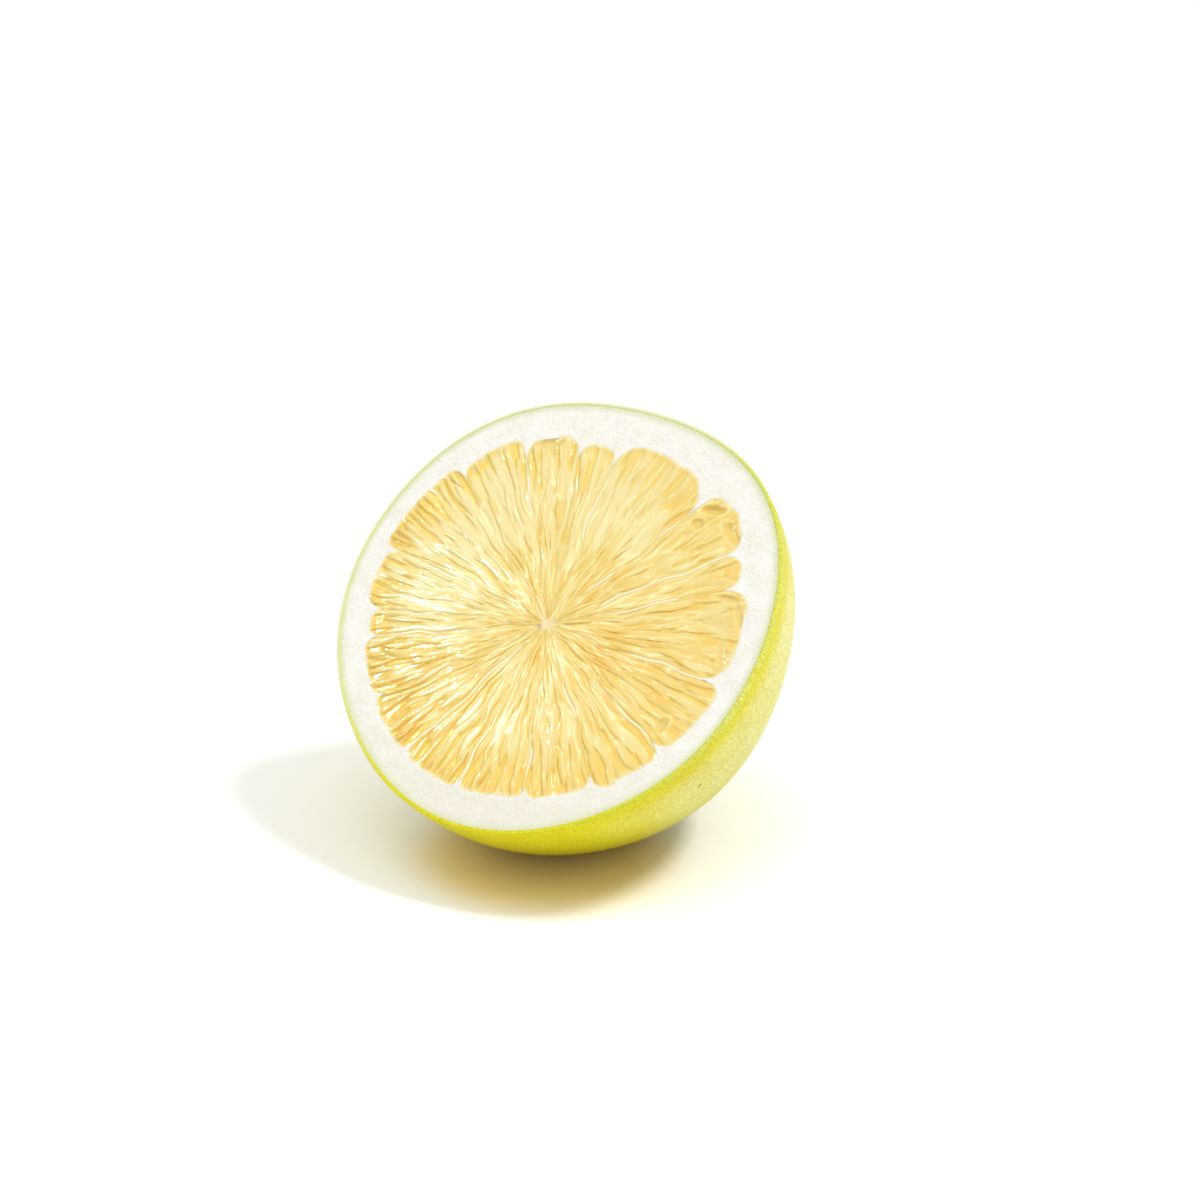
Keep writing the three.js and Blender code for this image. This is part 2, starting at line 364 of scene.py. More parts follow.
rind = {
    "sides": 420,
    "outsideRows": 96,
    "insideRows": 22,
    "edgeRound": 0.3,
    "pebble": 0.07,  # height of the uneven skin
    "cutEdge": (0.66, 0.68, 0.40),
    "paleRingDeg": 140,
    "edgeGreen": (0.56, 0.63, 0.055),
    "lime": (0.74, 0.66, 0.006),
    "backLime": (0.58, 0.58, 0.008),
    "speck": (0.86, 0.85, 0.36),
    # paler yellow: the painted sheen on the right side, and the real pale flecks at the cut edge
    "pale": (0.80, 0.775, 0.34),
    "olive": (0.66, 0.55, 0.004),
    "low": (0.40, 0.31, 0.001),  # painted shade: darker olive close to the table, where the fruit lies in its own shadow
    "stemGreen": (0.44, 0.48, 0.012),
    "gland": (0.38, 0.38, 0.004),
    "scar": (0.22, 0.17, 0.03),
    "scarPlace": (60.9, -41.2, -17.3),
    "scarTurn": (0.0, 0.0, 0.6),
    "scarSize": (0.9, 1.9, 0.7),
    # where each colour starts and ends: along X, along Y, over the table, and as a share of tintDepth
    "tintDepth": 90.0,
    "greenSide": (15.0, 62.0),
    "greenDepth": (0.0, 0.055),
    "fleckSide": (50.0, 72.0),
    "sheenSide": (30.0, 80.0),
    "sheenDepth": (0.02, 0.14),
    "sheenBack": (5.0, 55.0),
    "backSide": (5.0, 50.0),
    "tableShadeHeight": (4.0, 32.0),
    "speckDepth": (0.1, 0.25),
    "glandDepth": (0.0, 0.3),
    # noise scales, per millimetre
    "waverScale": 0.12,
    "sheenScale": 0.04,
    "mottle": (0.09, 0.7, 0.35),
    "fleckScale": 1.4,
    "dustScale": 0.95,
    "speckScale": 0.28,
    "cellScale": 1.0,
    "fineScale": 1.9,
    # how far the borders wander, and the height and strength of the relief
    "waver": 0.03,
    "sheenWander": 40.0,
    "cellBump": (0.12, 0.55),
    "fineBump": (0.08, 0.5),
    "roughness": (0.34, 0.48),
}


def rindMaterial():
    material, tree, shader = newMaterial("rindSkin")
    place = fruitSpace(tree)
    axes = addNode(tree, "ShaderNodeSeparateXYZ", Vector=place).outputs
    side = axes["X"]
    across = axes["Y"]
    depth = times(tree, axes["Z"], -1 / rind["tintDepth"])
    waver = times(tree, noiseAt(tree, place, rind["waverScale"]), rind["waver"])
    waveDepth = mathNode(tree, "ADD", depth, waver)
    base = ramp(tree, waveDepth, [
        (0.0, rind["lime"]), (0.2, rind["lime"]), (0.5, rind["backLime"]), (0.82, rind["backLime"]),
        (0.96, rind["stemGreen"]),
    ])
    base = mixColour(tree, mapRange(tree, across, *rind["backSide"], 0.0, 0.8), base, rind["backLime"])
    greenDepth = mapRange(tree, waveDepth, *rind["greenDepth"], 1.0, 0.0)
    greenShare = times(tree, mapRange(tree, side, *rind["greenSide"], 0.25, 1.0), greenDepth)
    base = mixColour(tree, greenShare, base, rind["edgeGreen"])
    # Painted sheen: the right side of the skin is painted paler, as if lit from the right, and it fades
    # towards the back
    wander = times(tree, noiseAt(tree, place, rind["sheenScale"]), rind["sheenWander"])
    sheenPlace = mathNode(tree, "ADD", side, mathNode(tree, "SUBTRACT", wander, rind["sheenWander"] / 2))
    sheenShare = times(
        tree, mapRange(tree, sheenPlace, *rind["sheenSide"]), mapRange(tree, depth, *rind["sheenDepth"]),
    )
    sheenShare = times(tree, sheenShare, mapRange(tree, across, *rind["sheenBack"], 1.0, 0.5))
    base = mixColour(tree, sheenShare, base, rind["pale"])
    base = mixColour(tree, times(tree, mottleMask(tree, place, *rind["mottle"]), 0.35), base, rind["olive"])
    # Painted shade: the skin is painted darker olive close to the table
    height = mathNode(tree, "ADD", vectorMath(tree, "DOT_PRODUCT", place, upInFruit), faceHeight)
    base = mixColour(tree, mapRange(tree, height, *rind["tableShadeHeight"], 0.85, 0.0), base, rind["low"])
    flecks = mapRange(tree, noiseAt(tree, place, rind["fleckScale"]), 0.36, 0.66)
    fleckShare = times(tree, greenShare, mapRange(tree, side, *rind["fleckSide"], 0.1, 0.9))
    base = mixColour(tree, times(tree, flecks, fleckShare), base, rind["pale"])
    dust = mapRange(tree, noiseAt(tree, place, rind["dustScale"], 2.0, 0.6), 0.35, 0.65, 0.0, 0.36)
    base = mixColour(tree, dust, base, rind["gland"])
    toScar = ellipsoidAt(tree, place, rind["scarPlace"], rind["scarSize"], rind["scarTurn"])
    base = mixColour(tree, mapRange(tree, toScar, 0.6, 1.1, 0.8, 0.0), base, rind["scar"])
    specks = mapRange(tree, cellsAt(tree, place, rind["speckScale"]), 0.05, 0.14, 0.45, 0.0)
    speckShare = times(tree, specks, mapRange(tree, depth, *rind["speckDepth"]))
    base = mixColour(tree, speckShare, base, rind["speck"])
    cells = cellsAt(tree, place, rind["cellScale"])
    glands = mapRange(tree, cells, 0.12, 0.34, 1.0, 0.0)
    glandShare = times(tree, glands, mapRange(tree, depth, *rind["glandDepth"], 0.55, 0.32))
    base = mixColour(tree, glandShare, base, rind["gland"])
    base = mixColour(tree, attribute(tree, "cutTint"), base, rind["cutEdge"])
    tree.links.new(base, shader.inputs["Base Color"])
    fine = noiseAt(tree, place, rind["fineScale"], 3.0, 0.6)
    normal = bumpOf(tree, fine, *rind["fineBump"], bumpOf(tree, cells, *rind["cellBump"]))
    tree.links.new(normal, shader.inputs["Normal"])
    tree.links.new(mapRange(tree, fine, 0.3, 0.7, *rind["roughness"]), shader.inputs["Roughness"])
    setSockets(shader, Subsurface_Weight=0.1, Subsurface_Scale=0.001, Subsurface_Radius=(1.0, 0.8, 0.3),
               Specular_IOR_Level=0.1)
    return material


def makeRind():
    outside = rind["outsideRows"]
    inside = rind["insideRows"]
    thickness = fruit["rindThickness"]
    corner = rind["edgeRound"]
    # slope, inset and z for each row, from the middle of the inside over the cut edge to the stem end
    rows = [(math.pi / 2 * (1 - (i / inside) ** 0.8), thickness, None) for i in range(inside + 1)]
    rows += [(0.0, thickness - 0.35, 0.0), (0.0, 2 * corner, 0.0), (0.0, corner, 0.0)]
    rows += [(0.0, corner * 0.29, -corner * 0.29), (0.0, 0.0, -corner)]
    firstSlope = 0.9 / fruit["stemDepth"]
    rows += [(blend(firstSlope, math.pi / 2, (i / outside) ** 1.12), 0.0, None) for i in range(outside + 1)]

    def place(row, column):
        angle = wholeTurn * column / rind["sides"]
        slope, inset, z = rows[row]
        point = layerPoint(angle, slope, inset)
        if z is not None:
            point.z = z
        elif inset == 0.0:
            rough = noise.noise(point * 0.35) + 0.6 * noise.noise(point * 0.9)
            point *= 1 + rind["pebble"] * rough * smooth(slope / 0.05) / point.length
        # the cut ring is pale on its left and top, and green elsewhere
        paleSide = smooth((math.cos(angle - math.radians(rind["paleRingDeg"])) + 0.35) / 0.9)
        return restOn(point, inset), 0.0 if z is None else paleSide * smooth((inset + 0.15) / 0.4)

    bm = bowl(rind["sides"], len(rows) - 1, "cutTint", place)
    finishPiece(bm, "rindSkin", [rindMaterial()], ["rind"])


pith = {
    "columns": 30,  # round one segment
    "outsideRows": 22,
    "topRows": 15,
    "insideRows": 18,
    "rimRound": 0.2,
    "rindGap": -0.02,  # below 0 it reaches into the rind
    "spongeHeight": 0.14,
    "spongeScales": (0.42, 0.95),
    "white": (0.88, 0.865, 0.82),
    "cream": (0.74, 0.705, 0.58),
    "rimGreen": (0.62, 0.66, 0.34),
    "mottle": (0.16, 1.1, 0.6),
    "creamSide": (-75.0, -30.0),
    "cellScale": 1.3,
    "cellBump": (0.25, 0.6),
    "grainScale": 2.6,
    "grainBump": (0.3, 0.9),
}


def pithMaterial():
    material, tree, shader = newMaterial("pithSponge")
    place = fruitSpace(tree)
    mottled = times(tree, mottleMask(tree, place, *pith["mottle"]), 0.7)
    base = mixColour(tree, mottled, pith["white"], pith["cream"])
    across = addNode(tree, "ShaderNodeSeparateXYZ", Vector=place).outputs["Y"]
    base = mixColour(tree, mapRange(tree, across, *pith["creamSide"], 0.5, 0.0), base, pith["cream"])
    base = mixColour(tree, times(tree, attribute(tree, "rimTint"), 0.7), base, pith["rimGreen"])
    tree.links.new(base, shader.inputs["Base Color"])
    cells = cellsAt(tree, place, pith["cellScale"])
    grain = noiseAt(tree, place, pith["grainScale"], 3.0, 0.65)
    normal = bumpOf(tree, grain, *pith["grainBump"], bumpOf(tree, cells, *pith["cellBump"]))
    tree.links.new(normal, shader.inputs["Normal"])
    setSockets(shader, Roughness=0.62, Subsurface_Weight=0.3, Subsurface_Scale=0.0007,
               Subsurface_Radius=(1.0, 0.85, 0.6), Specular_IOR_Level=0.3)
    return material


def makePith(plans):
    columns = pith["columns"]
    sides = columns * len(plans)
    pockets = [Slicer(plan, fruit["clearance"]) for plan in plans]
    inset = fruit["rindThickness"] + pith["rindGap"]
    insideRows = pith["insideRows"]
    topRows = pith["topRows"]
    outsideRows = pith["outsideRows"]
    rimRound = pith["rimRound"]
    lastInside = insideRows + 1
    lastTop = lastInside + topRows
    rowCount = lastTop + outsideRows + 1
    coreX, coreY = fruit["core"]
    coarse, fine = pith["spongeScales"]

    # Where a column stands: its pocket, its spot there and the skin's angle outside it
    def columnPlan(column):
        number, step = divmod(column, columns)
        spot = math.sin(math.pi / 2 * (2 * step / (columns - 1) - 1))
        plan = plans[number]
        angle = plan["middle"] + spot * plan["spread"]
        away = coreX * math.cos(angle) + coreY * math.sin(angle)
        reach = math.sqrt(away ** 2 - coreX ** 2 - coreY ** 2 + fruit["cutRadius"] ** 2) - away
        skinAngle = math.atan2(coreY + reach * math.sin(angle), coreX + reach * math.cos(angle))
        return pockets[number], spot, skinAngle

    places = [columnPlan(column) for column in range(sides)]

    def place(row, column):
        pocket, spot, skinAngle = places[column]
        tint = 0.0
        if row == 0:
            point = Vector((0.0, 0.0, -fruit["fleshDepth"] - fruit["clearance"]))
        elif row <= lastInside:
            slope = pocket.lastSlope * (1 - ((row - 1) / insideRows) ** 0.85)
            down = fruit["fleshDepth"] * math.sin(slope) + 1e-6
            point = pocket.at(spot, pocket.length(spot, slope), -down)
            if row == lastInside:
                point.z = -rimRound
        elif row <= lastTop:
            share = (row - lastInside) / topRows
            inner = pocket.at(spot, pocket.length(spot, 0.0), 0.0)
            outer = layerPoint(skinAngle, 0.0, inset)
            away = outer - inner
            run = blend(rimRound * 0.3, away.length, share ** 1.1)
            point = inner + away.normalized() * run
            relief = noise.noise(point * coarse) + 0.7 * noise.noise(point * fine + Vector((7.0, 0.0, 3.0)))
            calm = smooth((away.length - run) / 1.5) * smooth(run / 1.5)
            point.z = -rimRound * (1 - smooth(run / (5 * rimRound)))
            point.z += (pith["spongeHeight"] * relief - 0.12) * calm
            tint = smooth(1 - (away.length - run) / 2.6)
        else:
            share = (row - lastTop) / (outsideRows + 1)
            slope = blend(0.0, math.pi / 2, share)
            point = layerPoint(skinAngle, slope, inset)
            tint = 1.0
        return restOn(point, inset), tint

    bm = bowl(sides, rowCount, "rimTint", place)
    finishPiece(bm, "pithBody", [pithMaterial()], ["pith"], creaseDeg)


membrane = {
    "stepsOut": 60,
    "stepsDown": 9,
    "thickness": 0.64,
    "wave": 0.6,  # how far a membrane strays from its plane
    "top": -0.2,
    "colour": (0.80, 0.74, 0.53),
    "inner": (0.77, 0.66, 0.36),
    "knotShift": (-0.6, -0.2, -0.72),  # from the core
    "knotSize": (2.6, 1.5, 0.42),
    "pit": (-1.3, -7.2),
    "pitShade": (0.36, 0.29, 0.17),
    "coreColour": (0.74, 0.58, 0.27),
    "mottle": (0.2, 1.3, 0.5),
    "coreReach": (2.0, 12.0),
    "pitShadeReach": (0.3, 1.3),
    "relief": (0.15, 0.5),
}


def membraneMaterial():
    material, tree, shader = newMaterial("membraneSkin")
    place = fruitSpace(tree)
    share = times(tree, mottleMask(tree, place, *membrane["mottle"]), 0.6)
    base = mixColour(tree, share, membrane["colour"], membrane["inner"])
    toCore = vectorMath(tree, "DISTANCE", place, (*fruit["core"], 0.0))
    coreShare = mapRange(tree, toCore, *membrane["coreReach"], 0.8, 0.0)
    base = mixColour(tree, coreShare, base, membrane["coreColour"])
    # Painted shade: the small pit at the core is painted dark grey-brown
    toPit = vectorMath(tree, "DISTANCE", place, (*membrane["pit"], -0.4))
    pitShadeShare = mapRange(tree, toPit, *membrane["pitShadeReach"], 0.9, 0.0)
    base = mixColour(tree, pitShadeShare, base, membrane["pitShade"])
    tree.links.new(base, shader.inputs["Base Color"])
    relief = bumpOf(tree, noiseAt(tree, place, 1.6, 3.0), *membrane["relief"])
    tree.links.new(relief, shader.inputs["Normal"])
    setSockets(shader, Roughness=0.3)
    return material


# How far a membrane lies beside its plane, run millimetres out from the core and depth under the cut
def membraneShift(number, run, depth):
    phase = 2.4 * (number % len(segmentSizes))
    swing = math.sin(0.17 * run + phase) + 0.55 * math.sin(0.41 * run + 1.7 * phase)
    return membrane["wave"] * swing * smooth(run / 14) * smooth((57 - run) / 14) * math.exp(-depth / 25)


# How far the flesh closes over a membrane, from 0 to 1, which comes and goes along it
def membraneCover(number, run):
    place = Vector((run * 0.07, 7.3 * (number % len(segmentSizes)), 1.5))
    return smooth(1.1 + 1.6 * noise.noise(place) - run / 60) * smooth(run / 6)


def makeMembranes(plans):
    bm = bmesh.new()
    coreX, coreY = fruit["core"]
    grid = {"x_segments": membrane["stepsOut"], "y_segments": membrane["stepsDown"], "size": 1.0}
    for plan in plans:
        angle = plan["start"]
        pocket = Slicer(plan, 0.0)
        made = bmesh.ops.create_grid(bm, **grid)
        faces = list({face for vert in made["verts"] for face in vert.link_faces})
        for vert in made["verts"]:
            out = (vert.co.x + 1) / 2
            down = (1 - vert.co.y) / 2
            slope = pocket.lastSlope * 0.98 * down ** 1.3
            depth = fruit["fleshDepth"] * math.sin(slope)
            fade = 1 - depth / fruit["fleshDepth"]
            run = out * (pocket.length(-1.0, slope) + pocket.edge + 2.5 * math.cos(slope))
            side = membraneShift(plan["number"], run, depth) - membrane["thickness"] / 2
            x = coreX * fade + run * math.cos(angle)
            y = coreY * fade + run * math.sin(angle)
            point = Vector((x, y, 0.0))
            point += side * Vector((-math.sin(angle), math.cos(angle), 0.0))
            point.z = membrane["top"] + 0.15 * noise.noise(point * 0.2) - depth
            point.z -= 0.5 * membraneCover(plan["number"], run) * (1 - down)
            vert.co = point
        bm.normal_update()
        bmesh.ops.solidify(bm, geom=faces, thickness=membrane["thickness"])
    # the knot of fibres where they meet
    knot = bmesh.ops.create_uvsphere(bm, u_segments=36, v_segments=18, radius=1.0)
    shiftX, shiftY, shiftZ = membrane["knotShift"]
    sizeX, sizeY, sizeZ = membrane["knotSize"]
    for vert in knot["verts"]:
        x, y, z = vert.co
        point = Vector((coreX + shiftX + sizeX * x, coreY + shiftY + sizeY * y, shiftZ + sizeZ * z))
        pit = math.exp(-(Vector(membrane["pit"]) - point.xy).length_squared / 0.3)
        point.z += (0.2 * noise.noise(point * 1.1) - 0.4 * pit) * (1 + z) / 2
        vert.co = point
    bmesh.ops.recalc_face_normals(bm, faces=bm.faces)
    finishPiece(bm, "membranes", [membraneMaterial()], ["pith"], creaseDeg)


flesh = {
    "seed": 2024,
    "fill": 0.4,  # how far a body stands out of its solid, so that the cut face closes up
    "acrossStep": 0.34,
    "alongStep": 0.75,
    "backSteps": 12,
    "edgeSteps": 4,
    "capSteps": 3,
    "lastStep": 0.003,  # share of the length between the last two rows, which keeps the edge crisp
    "lastSlice": 0.012,
    "bedDepth": 0.65,
    "softness": 0.04,  # how smoothly neighbouring sacs run into one another
    "seamHeight": -0.28,  # of the flesh along its membranes
    "endHeight": -0.17,  # and at its outer end
    "seamWidth": 0.9,
    "leftRelief": 0.72,  # strength of the relief on the left side
    "rightRelief": 0.5,
    "endWidth": 1.3,
    "endRelief": 0.35,  # added at the ends on the left
    "calmHeight": -0.12,  # what the relief is calmed towards
    "pale": (0.74, 0.63, 0.27),
    "straw": (0.73, 0.545, 0.125),
    "gold": (0.72, 0.455, 0.05),
    # painted light: brighter, deeper gold for the hollows, standing in for light glowing through the flesh
    "hollowGlow": (0.87, 0.60, 0.045),
    "wall": (0.87, 0.76, 0.38),
    "pool": (0.67, 0.59, 0.25),
    # amber for the juice pockets, and for the painted shade along the segment ends
    "amber": (0.73, 0.50, 0.075),
    "underCut": {"tone": 0.6, "wall": 0.0, "pool": 0.35, "hollowGlow": 0.0, "amber": 0.0},
    "rimShade": (0.6, 0.95),  # painted shade along the outer ends, on the right and on the left
    "poolRing": 0.5,
    "grainScale": (44, 0.075, 3.1),  # across, along and from segment to segment
    "streakBump": (0.07, 0.6),
    "wetScale": 0.8,
    "wetBump": (0.12, 0.6),
    "swellScale": 0.3,
    "swellBump": (0.42, 0.7),
    "rippleScale": 1.5,
    "rippleBump": (0.08, 0.6),
}
# Juice sacs: where a tier runs as shares of the segment's length, and the sacs' length and width
sacTiers = [
    {"from": 0.45, "to": 1.08, "length": (12.0, 24.0), "width": (1.9, 3.4)},
    {"from": 0.16, "to": 0.72, "length": (15.0, 27.0), "width": (1.3, 2.5)},
    {"from": -0.06, "to": 0.40, "length": (12.0, 22.0), "width": (0.8, 1.4)},
]
sac = {
    "spacing": 0.84,
    "rowShare": 0.62,
    "overlap": 1.12,  # sacs go on past the membranes
    "topFrom": -0.3,
    "topTo": 0.1,
    "tilt": 0.13,  # slope of the flat tops across, as a standard deviation
    "pitch": 0.03,  # and along
    "yawDeg": 3.5,
    "bend": 0.035,
    "valley": 0.5,  # crest to the edge of a sac
    "dip": 0.4,  # how far its ends go down
}
# Clear juice without sacs: place, half sizes, turn in degrees, depth, share, how amber, how soft its border
pools = [
    ((42.2, 41.7), (4.3, 1.8), 5, 0.95, 1.0, 1.0, 0.2),
    ((38.5, 36.3), (2.4, 1.9), 0, 0.7, 0.9, 0.9, 0.3),
    ((50.9, 34.6), (5.7, 2.0), 138, 0.7, 1.0, 0.9, 0.35),
    ((57.0, 13.3), (5.0, 1.2), 0, 0.6, 0.9, 0.8, 0.4),
    ((62.2, 8.4), (4.6, 1.3), 112, 0.6, 0.9, 0.8, 0.4),
    ((56.0, 6.0), (6.5, 5.0), 150, 0.0, 0.35, 0.0, 0.8),
    ((61.2, -5.0), (5.0, 1.4), 103, 0.5, 0.9, 0.75, 0.4),
    ((50.3, -30.6), (3.2, 1.9), 67, 0.6, 0.9, 0.8, 0.45),
    ((-22.3, 55.9), (5.8, 1.9), 18, 0.8, 0.75, 0.5, 0.4),
]
# Warmer (above 0) and paler areas of the flesh: place, radius and strength
warmAreas = [
    ((22.6, -12.7), 15.0, 0.45), ((44.8, -16.8), 11.0, 0.25), ((-19.3, -24.4), 13.0, 0.45),
    ((13.4, 11.7), 13.0, 0.35), ((-8.5, -22.0), 8.0, -0.3), ((0.0, -5.0), 24.0, 0.25),
    ((-42.0, 2.0), 30.0, -0.45), ((-32.0, 32.0), 30.0, -0.5), ((8.0, 40.0), 26.0, -0.45),
    ((-35.0, -45.0), 28.0, 0.5), ((35.0, -5.0), 30.0, 0.15),
]


def fleshMaterial():
    material, tree, shader = newMaterial("juiceFlesh")
    place = fruitSpace(tree)
    grain = attribute(tree, "grain", "Vector")
    streak = noiseAt(tree, grain, 1.0, 3.0, 0.6, 0.6)
    cloud = noiseAt(tree, place, 0.11, 2.0)
    tone = mathNode(tree, "ADD", attribute(tree, "tone"), mapRange(tree, streak, 0.25, 0.75, -0.17, 0.17))
    tone = mathNode(tree, "ADD", tone, mapRange(tree, cloud, 0.3, 0.7, -0.12, 0.12))
    base = ramp(tree, tone, [(0.05, flesh["pale"]), (0.5, flesh["straw"]), (0.95, flesh["gold"])])
    # Painted light in the hollows
    base = mixColour(tree, attribute(tree, "hollowGlow"), base, flesh["hollowGlow"])
    base = mixColour(tree, attribute(tree, "wall"), base, flesh["wall"])
    base = mixColour(tree, attribute(tree, "pool"), base, flesh["pool"])
    # Amber for the juice pockets, and painted shade along the segment ends
    base = mixColour(tree, attribute(tree, "amber"), base, flesh["amber"])
    tree.links.new(base, shader.inputs["Base Color"])
    wet = bumpOf(tree, noiseAt(tree, place, flesh["wetScale"]), *flesh["wetBump"])
    normal = bumpOf(tree, streak, *flesh["streakBump"], wet)
    tree.links.new(normal, shader.inputs["Normal"])
    # the film of juice over the sacs has its own softer swell, so the glints are few and crisp
    ripple = bumpOf(tree, noiseAt(tree, place, flesh["rippleScale"]), *flesh["rippleBump"])
    film = bumpOf(tree, noiseAt(tree, place, flesh["swellScale"]), *flesh["swellBump"], ripple)
    tree.links.new(film, shader.inputs["Coat Normal"])
    setSockets(shader, Roughness=0.08, IOR=1.4, Coat_Weight=1.0, Coat_Roughness=0.03, Coat_IOR=1.5,
               Subsurface_Weight=0.7, Subsurface_Scale=0.0005, Subsurface_Radius=(1.0, 0.8, 0.5))
    return material


def chooseSacs(plan, form):
    sacs = []
    reach = form.length(0.0, 0.0)
    for tier in sacTiers:
        middleOut = reach * (tier["from"] + tier["to"]) / 2
        arc = 2 * plan["spread"] * (middleOut + form.edge)
        columns = max(1, round(arc / (sum(tier["width"]) / 2 * sac["spacing"])))
        run = reach * (tier["to"] - tier["from"])
        rows = max(1, round(run / (sum(tier["length"]) / 2 * sac["rowShare"])))
        for column in range(columns):
            shift = random.uniform(-0.5, 0.5)
            for row in range(rows):
                spot = ((column + 0.5 + random.uniform(-0.35, 0.35)) / columns * 2 - 1) * sac["overlap"]
                share = (row + 0.5 + shift * 0.6 + random.uniform(-0.3, 0.3)) / rows
                centre = blend(tier["from"], tier["to"], share) * form.length(clamp(spot, -1.0, 1.0), 0.0)
                length = random.uniform(*tier["length"])
                yaw = math.radians(random.gauss(0.0, sac["yawDeg"]))
                angle = plan["middle"] + spot * plan["spread"] + yaw
                sacs.append({
                    "centre": np.array(form.at(spot, centre, 0.0)[:2]),
                    "along": np.array((math.cos(angle), math.sin(angle))),
                    "length": length,
                    "width": random.uniform(*tier["width"]),
                    "bend": random.gauss(0.0, sac["bend"]) * length,
                    "top": random.uniform(sac["topFrom"], sac["topTo"]),
                    "tilt": random.gauss(0.0, sac["tilt"]),
                    "pitch": random.gauss(0.0, sac["pitch"]),
                    "tone": random.gauss(0.42, 0.12),
                })
    return sacs


# Height, tone and closeness to a sac's wall at points of the cut face
def sacRelief(points, sacs):
    soft = flesh["softness"]
    total = np.full(len(points), math.exp(-flesh["bedDepth"] / soft))
    best = total.copy()
    toneSum = total * 0.8
    for one in sacs:
        offset = points - one["centre"]
        along = offset @ one["along"] / (one["length"] / 2)
        near = np.nonzero(np.abs(along) < 1)[0]
        along = along[near]
        side = np.array((-one["along"][1], one["along"][0]))
        across = offset[near] @ side - one["bend"] * (1 - along ** 2)
        taper = 0.55 + 0.45 * np.clip((along + 1) / 1.3, 0, 1)
        half = one["width"] / 2 * (1 - along ** 2) ** 0.5 * taper + 1e-6
        ratio = np.abs(across) / half
        inside = ratio < 1
        near = near[inside]
        along = along[inside]
        across = across[inside]
        ratio = ratio[inside]
        height = one["top"] + one["tilt"] * across + one["pitch"] * along * one["length"] / 2
        height -= sac["valley"] * (1 - np.sqrt(1 - ratio ** 4)) + sac["dip"] * along ** 4
        power = np.exp(height / soft)
        total[near] += power
        # Painted shade: each sac turns a little more golden towards its edges, where the valleys between
        # sacs lie
        toneSum[near] += power * (one["tone"] + 0.08 * ratio ** 2)
        best[near] = np.maximum(best[near], power)
    return soft * np.log(total), toneSum / total, 2 * (1 - best / total)


def smoothArray(values):
    values = np.clip(values, 0, 1)
    return values * values * (3 - 2 * values)


# The cut surface of a segment as arrays over its slices and steps outwards: its height, how far out each
# point is, its place on the cut face, and the tints that the material reads
def cutSurface(plan, form, spots, steps):
    longest = np.array([form.length(spot, 0.0) for spot in spots])
    out = longest[:, None] * np.append(np.linspace(0, 1 - flesh["lastStep"], steps), 1.0)
    angles = plan["middle"] + np.array(spots) * plan["spread"]
    start = np.array(form.innerEdge(0.0, form.edge - form.inward))
    away = np.stack([np.cos(angles), np.sin(angles)], axis=-1)
    face = start + out[..., None] * away[:, None]
    flat = face.reshape(-1, 2)
    height, tone, wall = sacRelief(flat, chooseSacs(plan, form))
    share = (1 - np.abs(np.array(spots)))[:, None]
    toSide = (share * plan["spread"] * (out + form.edge - form.inward)).ravel()
    toEnd = (longest[:, None] - out).ravel()
    nearLeft = smoothArray(0.45 - (flat[:, 0] + 0.8 * flat[:, 1]) / 60)
    calm = blend(flesh["leftRelief"], flesh["rightRelief"], smoothArray((flat[:, 0] + 35) / 70))
    calm = calm + flesh["endRelief"] * nearLeft * (1 - smoothArray((toEnd - 6) / 8))
    height = blend(flesh["calmHeight"], height, calm)
    height = blend(height, flesh["seamHeight"], 1 - smoothArray(toSide / flesh["seamWidth"]))
    height = blend(height, flesh["endHeight"], 1 - smoothArray(toEnd / flesh["endWidth"]))
    wall = np.maximum(wall, 0.8 * (1 - smoothArray((toEnd - 0.2) / 0.9)))
    pool = flesh["underCut"]["pool"] * (1 - smoothArray(toEnd / 3.0))
    # Painted shade: a darker amber band just inside each outer end, wider on the left
    rimShadeBand = smoothArray((toEnd - 0.4) / 0.6) * (1 - smoothArray((toEnd - 1.2) / blend(1.4, 5.5, nearLeft)))
    angle = np.repeat(angles, steps + 1)
    patches = np.array([
        noise.noise(Vector((turn * 9, reach * 0.12, 4.0))) for turn, reach in zip(angle, toEnd)
    ])
    amber = blend(*flesh["rimShade"], nearLeft) * rimShadeBand * smoothArray(0.55 + 2 * patches)
    for place, half, turnDeg, depth, most, amberShare, soft in pools:
        turn = math.radians(turnDeg)
        offset = flat - np.array(place)
        first = offset @ np.array((math.cos(turn), math.sin(turn))) / half[0]
        second = offset @ np.array((-math.sin(turn), math.cos(turn))) / half[1]
        radius = np.sqrt(first ** 2 + second ** 2)
        mask = most * smoothArray((1 - radius) / soft + 0.5)
        height = blend(height, -0.2 - depth * smoothArray((1.1 - radius) / 0.8), mask)
        pool = np.maximum(pool, mask)
        amber = np.maximum(amber, mask * amberShare)
        ring = smoothArray((radius - 0.95) / 0.15) * (1 - smoothArray((radius - 1.15) / 0.25))
        wall = np.maximum(wall * (1 - mask), flesh["poolRing"] * amberShare * ring)
    for place, radius, strength in warmAreas:
        distance = np.linalg.norm(flat - np.array(place), axis=1) / radius
        tone = tone + strength * smoothArray(1 - distance)
    # Painted light: the low places are painted a brighter, deeper gold, as if lit through the flesh
    hollowGlow = 0.85 * smoothArray((-height - 0.1) / 0.7) * smoothArray(0.25 + 0.9 * tone)
    tints = {"tone": tone, "wall": wall, "pool": pool, "hollowGlow": hollowGlow, "amber": amber}
    tints = {name: values.reshape(out.shape) for name, values in tints.items()}
    return height.reshape(out.shape), out, face, tints


